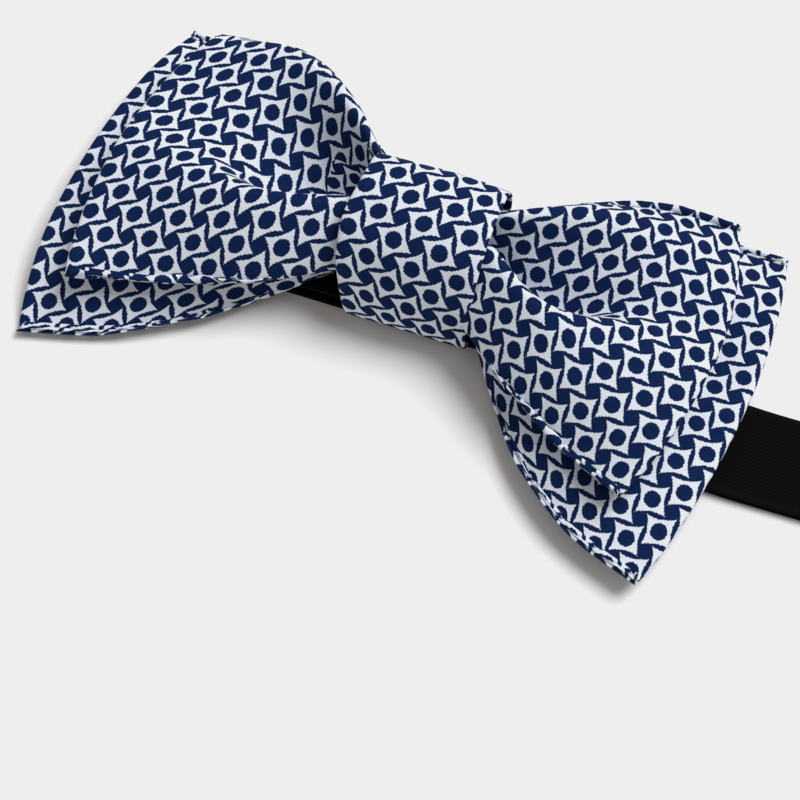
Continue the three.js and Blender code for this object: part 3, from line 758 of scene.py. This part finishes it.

# %% [markdown]
# ## The neck band
#
# The band is a black ribbon, 18 mm wide. One end is sewn round the slider's middle bar. From there it
# runs out round the hook's bar, back through the slider, along the table and through the knot, turns
# back under the left wing, and runs out again to the eye, where its end is folded round the bar and
# tacked down. Its edge-on line is built from straight runs, half turns and easy bends, and the whole
# line then drifts sideways on the table as a limp ribbon does.

# %% Material: black twill ribbon
# Twill-woven polyester: matt black, with fine slanting ribs and a firmer line at each selvedge. The rib
# tops and selvedge lines carry painted highlight, and the grooves between them carry painted shade.
RIBBON_WIDTH = 18.0
RIBBON_RIB = 0.5
SELVEDGE_FROM, SELVEDGE_TO = 1.1, 0.9  # in from the ribbon's edge
WAVE_UNITS = 20  # what a Wave texture counts by along one axis; its diagonal bands come out wider
ribbon_black, ribbon_shader = new_material("black_twill_ribbon", Roughness=0.8, Specular_IOR_Level=0.05)
ribbon_cloth = add_node(ribbon_black, "ShaderNodeUVMap", uv_map="cloth").outputs["UV"]
ribbon_ribs = add_node(
    ribbon_black,
    "ShaderNodeTexWave",
    {
        "Vector": ribbon_cloth,
        "Scale": 2 * math.pi / (WAVE_UNITS * RIBBON_RIB * MM),
        "Distortion": 0.6,
        "Detail": 2.0,
    },
    wave_type="BANDS",
    bands_direction="DIAGONAL",
).outputs["Fac"]
ribbon_split = add_node(ribbon_black, "ShaderNodeSeparateXYZ", {0: ribbon_cloth})
from_middle = add_node(
    ribbon_black, "ShaderNodeMath", {0: ribbon_split.outputs["Y"]}, operation="ABSOLUTE"
).outputs[0]
selvedge = add_node(
    ribbon_black,
    "ShaderNodeMapRange",
    {
        "Value": from_middle,
        "From Min": (RIBBON_WIDTH / 2 - SELVEDGE_FROM) * MM,
        "From Max": (RIBBON_WIDTH / 2 - SELVEDGE_TO) * MM,
    },
).outputs[0]
rib_height_and_painted_shade = add_node(
    ribbon_black, "ShaderNodeMath", {0: ribbon_ribs, 1: 0.7, 2: selvedge}, operation="MULTIPLY_ADD"
).outputs[0]
ribbon_bump = add_node(
    ribbon_black, "ShaderNodeBump", {"Height": rib_height_and_painted_shade, "Strength": 0.5, "Distance": 0.08 * MM}
)
ribbon_black.node_tree.links.new(ribbon_bump.outputs["Normal"], ribbon_shader.inputs["Normal"])
# Painted light: the black is darker in the rib grooves and lighter on the rib tops and selvedge lines,
# following the rib height.
ribbon_colour = add_node(
    ribbon_black,
    "ShaderNodeMix",
    {0: rib_height_and_painted_shade, 6: linear("#060505"), 7: linear("#0D0B0B")},
    data_type="RGBA",
).outputs[2]
ribbon_black.node_tree.links.new(ribbon_colour, ribbon_shader.inputs["Base Color"])

# %% The band's edge-on line
BAND_THICKNESS = 0.9
LAYER_PITCH = 1.2
SLIDER_X, SLIDER_Z = 112.0, 4.2
HOOK_X, EYE_X = 142.0, 172.0
CLASP_FOLD = 1.25
BAND_IN_KNOT = 3.85


def layer(count):
    """Middle height of the band where it lies on that many other layers, in mm."""
    return BAND_THICKNESS / 2 + LAYER_PITCH * count


def straight(line, x, z, step=1.5):
    """Carries the line straight on to (x, z)."""
    start = np.array(line[-1])
    count = max(1, math.ceil(np.linalg.norm(np.array((x, z)) - start) / step))
    line += [tuple(start + (np.array((x, z)) - start) * i / count) for i in range(1, count + 1)]


def bend(line, stations, samples):
    """Carries the line on through the stations in one easy curve."""
    line += [tuple(point) for point in smooth_line([line[-1], *stations], samples)[0][1:]]


def half_turn(line, x, z, radius_x, radius_z, start, end, samples=16):
    """Carries the line round part of an ellipse, between two angles in degrees."""
    for angle in np.radians(np.linspace(start, end, samples)[1:]):
        line.append((x + radius_x * math.cos(angle), z + radius_z * math.sin(angle)))


BAR_LOOP = (2.0, 1.5)
WEAVE_TOP = SLIDER_Z + BAR_LOOP[1] + LAYER_PITCH
END_BAR = 6.1
SLOT = 3.1
HOOK_BAR_Z = layer(1) + CLASP_FOLD
EYE_BAR_Z = layer(0) + CLASP_FOLD
LEFT_FOLD = -46.8
IN_KNOT = 17.0
OFF_RAMP = 27.0

band_line = [(SLIDER_X + BAR_LOOP[0], SLIDER_Z)]
half_turn(band_line, SLIDER_X, SLIDER_Z, *BAR_LOOP, 0, 270, 28)
bend(band_line, [(SLIDER_X + END_BAR - 1, layer(1) + 0.1), (SLIDER_X + END_BAR + 2, layer(1))], 12)
straight(band_line, HOOK_X, layer(1))
half_turn(band_line, HOOK_X, HOOK_BAR_Z, CLASP_FOLD, CLASP_FOLD, -90, 90)
straight(band_line, HOOK_X - 4, HOOK_BAR_Z + CLASP_FOLD)
bend(band_line, [(HOOK_X - 8, layer(2) + 0.65), (HOOK_X - 12, layer(2))], 10)
straight(band_line, SLIDER_X + END_BAR + 0.4, layer(2))
over_bar = [
    (END_BAR - 0.6, layer(2) + 0.05),
    (SLOT + 0.95, SLIDER_Z - 0.5),
    (SLOT + 0.3, SLIDER_Z + 0.7),
    (SLOT - 0.9, WEAVE_TOP - 0.65),
]
down_again = [(-x, z) for x, z in reversed(over_bar)]
through_slider = over_bar + [(0, WEAVE_TOP)] + down_again + [(-END_BAR - 0.4, layer(2))]
bend(
    band_line,
    [(SLIDER_X + x, z) for x, z in through_slider],
    60,
)
straight(band_line, SLIDER_X - 8, layer(2))
bend(band_line, [(SLIDER_X - 13, layer(1) + 0.2), (SLIDER_X - 17, layer(1))], 10)
straight(band_line, OFF_RAMP, layer(1))
ramp = ((OFF_RAMP + IN_KNOT) / 2, (layer(1) + BAND_IN_KNOT) / 2)
bend(band_line, [ramp, (IN_KNOT, BAND_IN_KNOT)], 12)
straight(band_line, -IN_KNOT, BAND_IN_KNOT)
bend(band_line, [(-ramp[0], ramp[1]), (-OFF_RAMP, layer(1))], 12)
straight(band_line, LEFT_FOLD + 8, layer(1))
bend(band_line, [(LEFT_FOLD + 4, layer(1.6)), (LEFT_FOLD, layer(2))], 8)
half_turn(band_line, LEFT_FOLD, layer(1), LAYER_PITCH, LAYER_PITCH, 90, 270)
straight(band_line, EYE_X, layer(0))
half_turn(band_line, EYE_X, EYE_BAR_Z, CLASP_FOLD, CLASP_FOLD, -90, 90)
straight(band_line, EYE_X - 2, EYE_BAR_Z + CLASP_FOLD)
bend(band_line, [(EYE_X - 6, layer(1) + 0.5), (EYE_X - 9, layer(1))], 8)
straight(band_line, EYE_X - 16, layer(1))
band_line = np.array(band_line)
band_along = lengths_along(band_line)
print("band length", round(band_along[-1], 1), "mm")

# %% The band drifts sideways, and lies in its place
KNOT_SLOPE = math.tan(KNOT_TURN)
IN_KNOT_SIDE = 1.2
DRIFT = (
    (-60, IN_KNOT_SIDE - 60 * KNOT_SLOPE, KNOT_SLOPE),
    (17, IN_KNOT_SIDE + 17 * KNOT_SLOPE, KNOT_SLOPE),
    (58, -5.2, 0.02),
    (78, -3.0, 0.13),
    (98, -0.5, 0.0),
    (220, -0.5, 0.0),
)


def drift(x):
    """How far the band's middle lies towards +Y at x, in mm: cubics that join place and slope."""
    for (x0, y0, slope0), (x1, y1, slope1) in zip(DRIFT, DRIFT[1:]):
        if x <= x1:
            break
    share = (x - x0) / (x1 - x0)
    rise = y1 - y0
    start, end = slope0 * (x1 - x0), slope1 * (x1 - x0)
    squared = (3 * rise - 2 * start - end) * share**2
    cubed = (start + end - 2 * rise) * share**3
    return y0 + start * share + squared + cubed


RIBBON_CELLS = 18
RIBBON_EDGE = 0.3
band_across = np.linspace(-RIBBON_WIDTH / 2, RIBBON_WIDTH / 2, RIBBON_CELLS + 1)
band_places = np.empty((len(band_line), len(band_across), 3))
band_places[:, :, 0] = band_line[:, 0, None]
band_places[:, :, 1] = band_across[None, :] + np.array([drift(x) for x in band_line[:, 0]])[:, None]
band_places[:, :, 2] = band_line[:, 1, None]
band = cloth_strip(
    "neck_band_ribbon", band_places, band_along, band_across, BAND_THICKNESS, ribbon_black, "band"
)
rounded = band.modifiers.new("soft_edges", "BEVEL")
rounded.width = RIBBON_EDGE * MM
rounded.segments = 2
rounded.limit_method = "ANGLE"
rounded.angle_limit = math.radians(60)
folded_sheet("neck_band")

# %% [markdown]
# ## Stitches and binding
#
# A hand-sewn seam is one thread that goes over and over the join. So each seam is one curve through the
# points where the needle went, with a round bevel for the thread's thickness. The gathered middle is
# bound with a cord wound round it in close turns, which is the same curve wound as a helix.

# %% Material: spun thread
# Spun polyester sewing thread: softly shiny, with a tight twist that shows as slanting bands, drawn as
# bumps and as painted highlight and painted shade in bands of lighter and darker colour.
THREAD_TWIST = 0.6


def spun_thread(name, dark, light):
    """Sewing thread in one colour, with its twist, and painted highlight and shade in bands along the
    twist.
    """
    material, shader = new_material(name, Roughness=0.6, Specular_IOR_Level=0.3)
    place = add_node(material, "ShaderNodeTexCoord").outputs["Object"]
    twist_and_painted_shade = add_node(
        material,
        "ShaderNodeTexWave",
        {
            "Vector": place,
            "Scale": 2 * math.pi / (WAVE_UNITS * THREAD_TWIST * MM),
            "Distortion": 1.0,
            "Detail": 1.0,
        },
        bands_direction="DIAGONAL",
    ).outputs["Fac"]
    # Painted light: the thread's colour is darker in the twist's grooves and lighter on its ridges.
    colour = add_node(
        material, "ShaderNodeMix", {0: twist_and_painted_shade, 6: linear(dark), 7: linear(light)}, data_type="RGBA"
    ).outputs[2]
    material.node_tree.links.new(colour, shader.inputs["Base Color"])
    ridges = add_node(
        material, "ShaderNodeBump", {"Height": twist_and_painted_shade, "Strength": 0.6, "Distance": 0.05 * MM}
    )
    material.node_tree.links.new(ridges.outputs["Normal"], shader.inputs["Normal"])
    return material


navy_thread = spun_thread("navy_spun_thread", "#0B1A3E", "#1C3468")
black_thread = spun_thread("black_spun_thread", "#060505", "#151313")

# %% Helper: a thread through its needle holes
THREAD_THICKNESS = 0.3


def thread_through(name, points, thickness, material, body, node):
    """One thread as a round tube through the points, in mm, standing for a solid."""
    curve = bpy.data.curves.new(name, "CURVE")
    curve.dimensions = "3D"
    curve.bevel_depth = thickness * MM / 2
    curve.bevel_resolution = 2
    curve.resolution_u = 4
    curve.use_fill_caps = True
    spline = curve.splines.new("NURBS")
    spline.points.add(len(points) - 1)
    for spline_point, place in zip(spline.points, points):
        spline_point.co = (*(np.array(place) * MM), 1.0)
    spline.order_u = 3
    spline.use_endpoint_u = True
    drawn = bpy.data.objects.new(f"{name}_line", curve)
    bpy.context.collection.objects.link(drawn)
    bpy.context.view_layer.update()
    data = bpy.data.meshes.new_from_object(drawn.evaluated_get(bpy.context.evaluated_depsgraph_get()))
    bpy.data.objects.remove(drawn)
    data.name = name
    data.materials.clear()
    data.materials.append(material)
    thread = bpy.data.objects.new(name, data)
    bpy.context.collection.objects.link(thread)
    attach(thread, body)
    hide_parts(node)
    print(name, round(float(lengths_along(np.array(points))[-1]), 1), "mm of thread")


def overcast(one_side, other_side, lift):
    """Needle holes on two facing edges, taken by turns, with the thread lifted between them."""
    points = []
    for near, far in zip(one_side, other_side):
        points += [near, (near + far) / 2 + lift, far, (near + far) / 2 - lift]
    return points


# %% The seams behind the bows and the knot
STITCH = 2.4
BOW_SEAM_LIFT, KNOT_SEAM_LIFT = 0.35, 0.3
BOW_SEAM_INSET, KNOT_SEAM_INSET = 8, 5  # columns of the grid left free at each end of a seam
for bow_name, loop in bow_loops.items():
    every = round(STITCH / CELL)
    inner = slice(BOW_SEAM_INSET, -BOW_SEAM_INSET, every)
    away = loop[0, loop.shape[1] // 2] - loop[loop.shape[0] // 2, loop.shape[1] // 2]
    lift = away / np.linalg.norm(away) * BOW_SEAM_LIFT
    seam = overcast(loop[0, inner], loop[-1, inner], lift)
    name = f"{bow_name}_seam_stitches"
    node = f"{bow_name}_seam_thread"
    thread_through(name, seam, THREAD_THICKNESS, navy_thread, "bow", node)

every = round(STITCH / across_step)
inner = slice(KNOT_SEAM_INSET, -KNOT_SEAM_INSET, every)
lift = np.array((0, 0, KNOT_SEAM_LIFT))
knot_seam = overcast(wrap_places[0, inner], wrap_places[-1, inner], lift)
thread_through(
    "knot_seam_stitches",
    knot_seam,
    THREAD_THICKNESS,
    navy_thread,
    "bow",
    "knot_seam_thread",
)

# %% The binding round the gathered middle
BINDING_CORD = 0.9
BINDING_TURNS = 6
BINDING_PITCH = 0.98  # from turn to turn, in cord thicknesses: the turns press on each other
TURN_POINTS = 24
BINDING_MIDDLE = (2.0, 12.2)
BINDING_HALF = (8.0, 6.8)
binding = []
for count in range(BINDING_TURNS * TURN_POINTS + 1):
    angle = 2 * math.pi * count / TURN_POINTS
    along_knot = (count / TURN_POINTS - BINDING_TURNS / 2) * BINDING_CORD * BINDING_PITCH
    squared = (abs(math.cos(angle)) ** 4 + abs(math.sin(angle)) ** 4) ** -0.25
    y = BINDING_MIDDLE[0] + BINDING_HALF[0] * squared * math.cos(angle)
    z = BINDING_MIDDLE[1] + BINDING_HALF[1] * squared * math.sin(angle)
    binding.append((along_knot, y, z))
binding = knot_place(binding)
thread_through(
    "waist_binding_cord", binding, BINDING_CORD, navy_thread, "bow", "waist_binding"
)

# %% The tacks on the band
TACK_ROWS = np.linspace(-7.0, 7.0, 12)
TACK_HALF = 0.5
TACK_STEP = 0.2
TACK_SUNK, TACK_PROUD = 0.2, 0.12


def tack(name, x, z, node):
    """A row of zigzag stitches across the band at x, on its face at height z."""
    points = []
    for row, y in enumerate(TACK_ROWS):
        side = TACK_HALF if row % 2 else -TACK_HALF
        points.append((x + side, drift(x) + y, z - TACK_SUNK))
        points.append((x + side, drift(x) + y + TACK_STEP, z + TACK_PROUD))
    thread_through(name, points, THREAD_THICKNESS, black_thread, "band", node)


tack("slider_bar_stitches", SLIDER_X + BAR_LOOP[0] - 0.3, SLIDER_Z - 0.9, "slider_bar_tack")
tack("eye_bar_stitches", EYE_X - 13, layer(1) + BAND_THICKNESS / 2, "eye_bar_tack")

# %% [markdown]
# ## Slider, hook and eye
#
# These are stamped from steel strip and nickel plated. Stamping leaves a small rounded edge, and that
# edge is what catches the light, so each measured piece is copied, its loose triangles are merged, its
# flat faces made whole, and its sharp edges bevelled. The plating is a bright metal with faint rubbing
# marks along the pieces and a slightly warm tone.

# %% Material: nickel plate
NICKEL_RUB = 0.35
nickel, nickel_shader = new_material("nickel_plated_steel", Metallic=1.0)
nickel_place = add_node(nickel, "ShaderNodeTexCoord").outputs["Object"]
stretched = add_node(
    nickel, "ShaderNodeMapping", {"Vector": nickel_place, "Scale": (1.0, 0.12, 1.0)}
).outputs["Vector"]
rubbing = add_node(
    nickel, "ShaderNodeTexNoise", {"Vector": stretched, "Scale": 1 / (NICKEL_RUB * MM), "Detail": 4.0}
).outputs["Fac"]
nickel_colour = add_node(
    nickel, "ShaderNodeMix", {0: rubbing, 6: linear("#BDB8AD"), 7: linear("#DDD9CF")}, data_type="RGBA"
).outputs[2]
nickel.node_tree.links.new(nickel_colour, nickel_shader.inputs["Base Color"])
nickel_gloss = add_node(
    nickel, "ShaderNodeMapRange", {"Value": rubbing, "To Min": 0.2, "To Max": 0.38}
).outputs[0]
nickel.node_tree.links.new(nickel_gloss, nickel_shader.inputs["Roughness"])
nickel_bump = add_node(
    nickel, "ShaderNodeBump", {"Height": rubbing, "Strength": 0.15, "Distance": 0.02 * MM}
)
nickel.node_tree.links.new(nickel_bump.outputs["Normal"], nickel_shader.inputs["Normal"])

# %% The stamped pieces
STAMPED_EDGE = 0.18
SHARP = math.radians(40)
FLAT = math.radians(1)
CREASED = math.radians(35)


def stamped(node, body):
    """A measured metal piece with its edges rounded as stamping and plating leave them."""
    mesh = bmesh.new()
    mesh.from_mesh(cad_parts[node].data)
    bmesh.ops.remove_doubles(mesh, verts=mesh.verts, dist=0.001 * MM)
    bmesh.ops.dissolve_limit(mesh, angle_limit=FLAT, verts=mesh.verts, edges=mesh.edges)
    sharp = [e for e in mesh.edges if e.is_manifold and e.calc_face_angle() > SHARP]
    bmesh.ops.bevel(
        mesh,
        geom=sharp,
        offset=STAMPED_EDGE * MM,
        segments=3,
        profile=0.5,
        affect="EDGES",
        material=-1,
        clamp_overlap=True,
    )
    for face in mesh.faces:
        face.smooth = True
    data = bpy.data.meshes.new(f"{node}_stamped")
    mesh.to_mesh(data)
    mesh.free()
    data.set_sharp_from_angle(angle=CREASED)
    data.materials.append(nickel)
    piece = bpy.data.objects.new(f"{node}_stamped", data)
    bpy.context.collection.objects.link(piece)
    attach(piece, body)
    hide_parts(node)
    print(piece.name, len(data.polygons), "faces")


stamped("band_slider", "band")
stamped("clasp_hook", "hook")
stamped("clasp_eye", "eye")
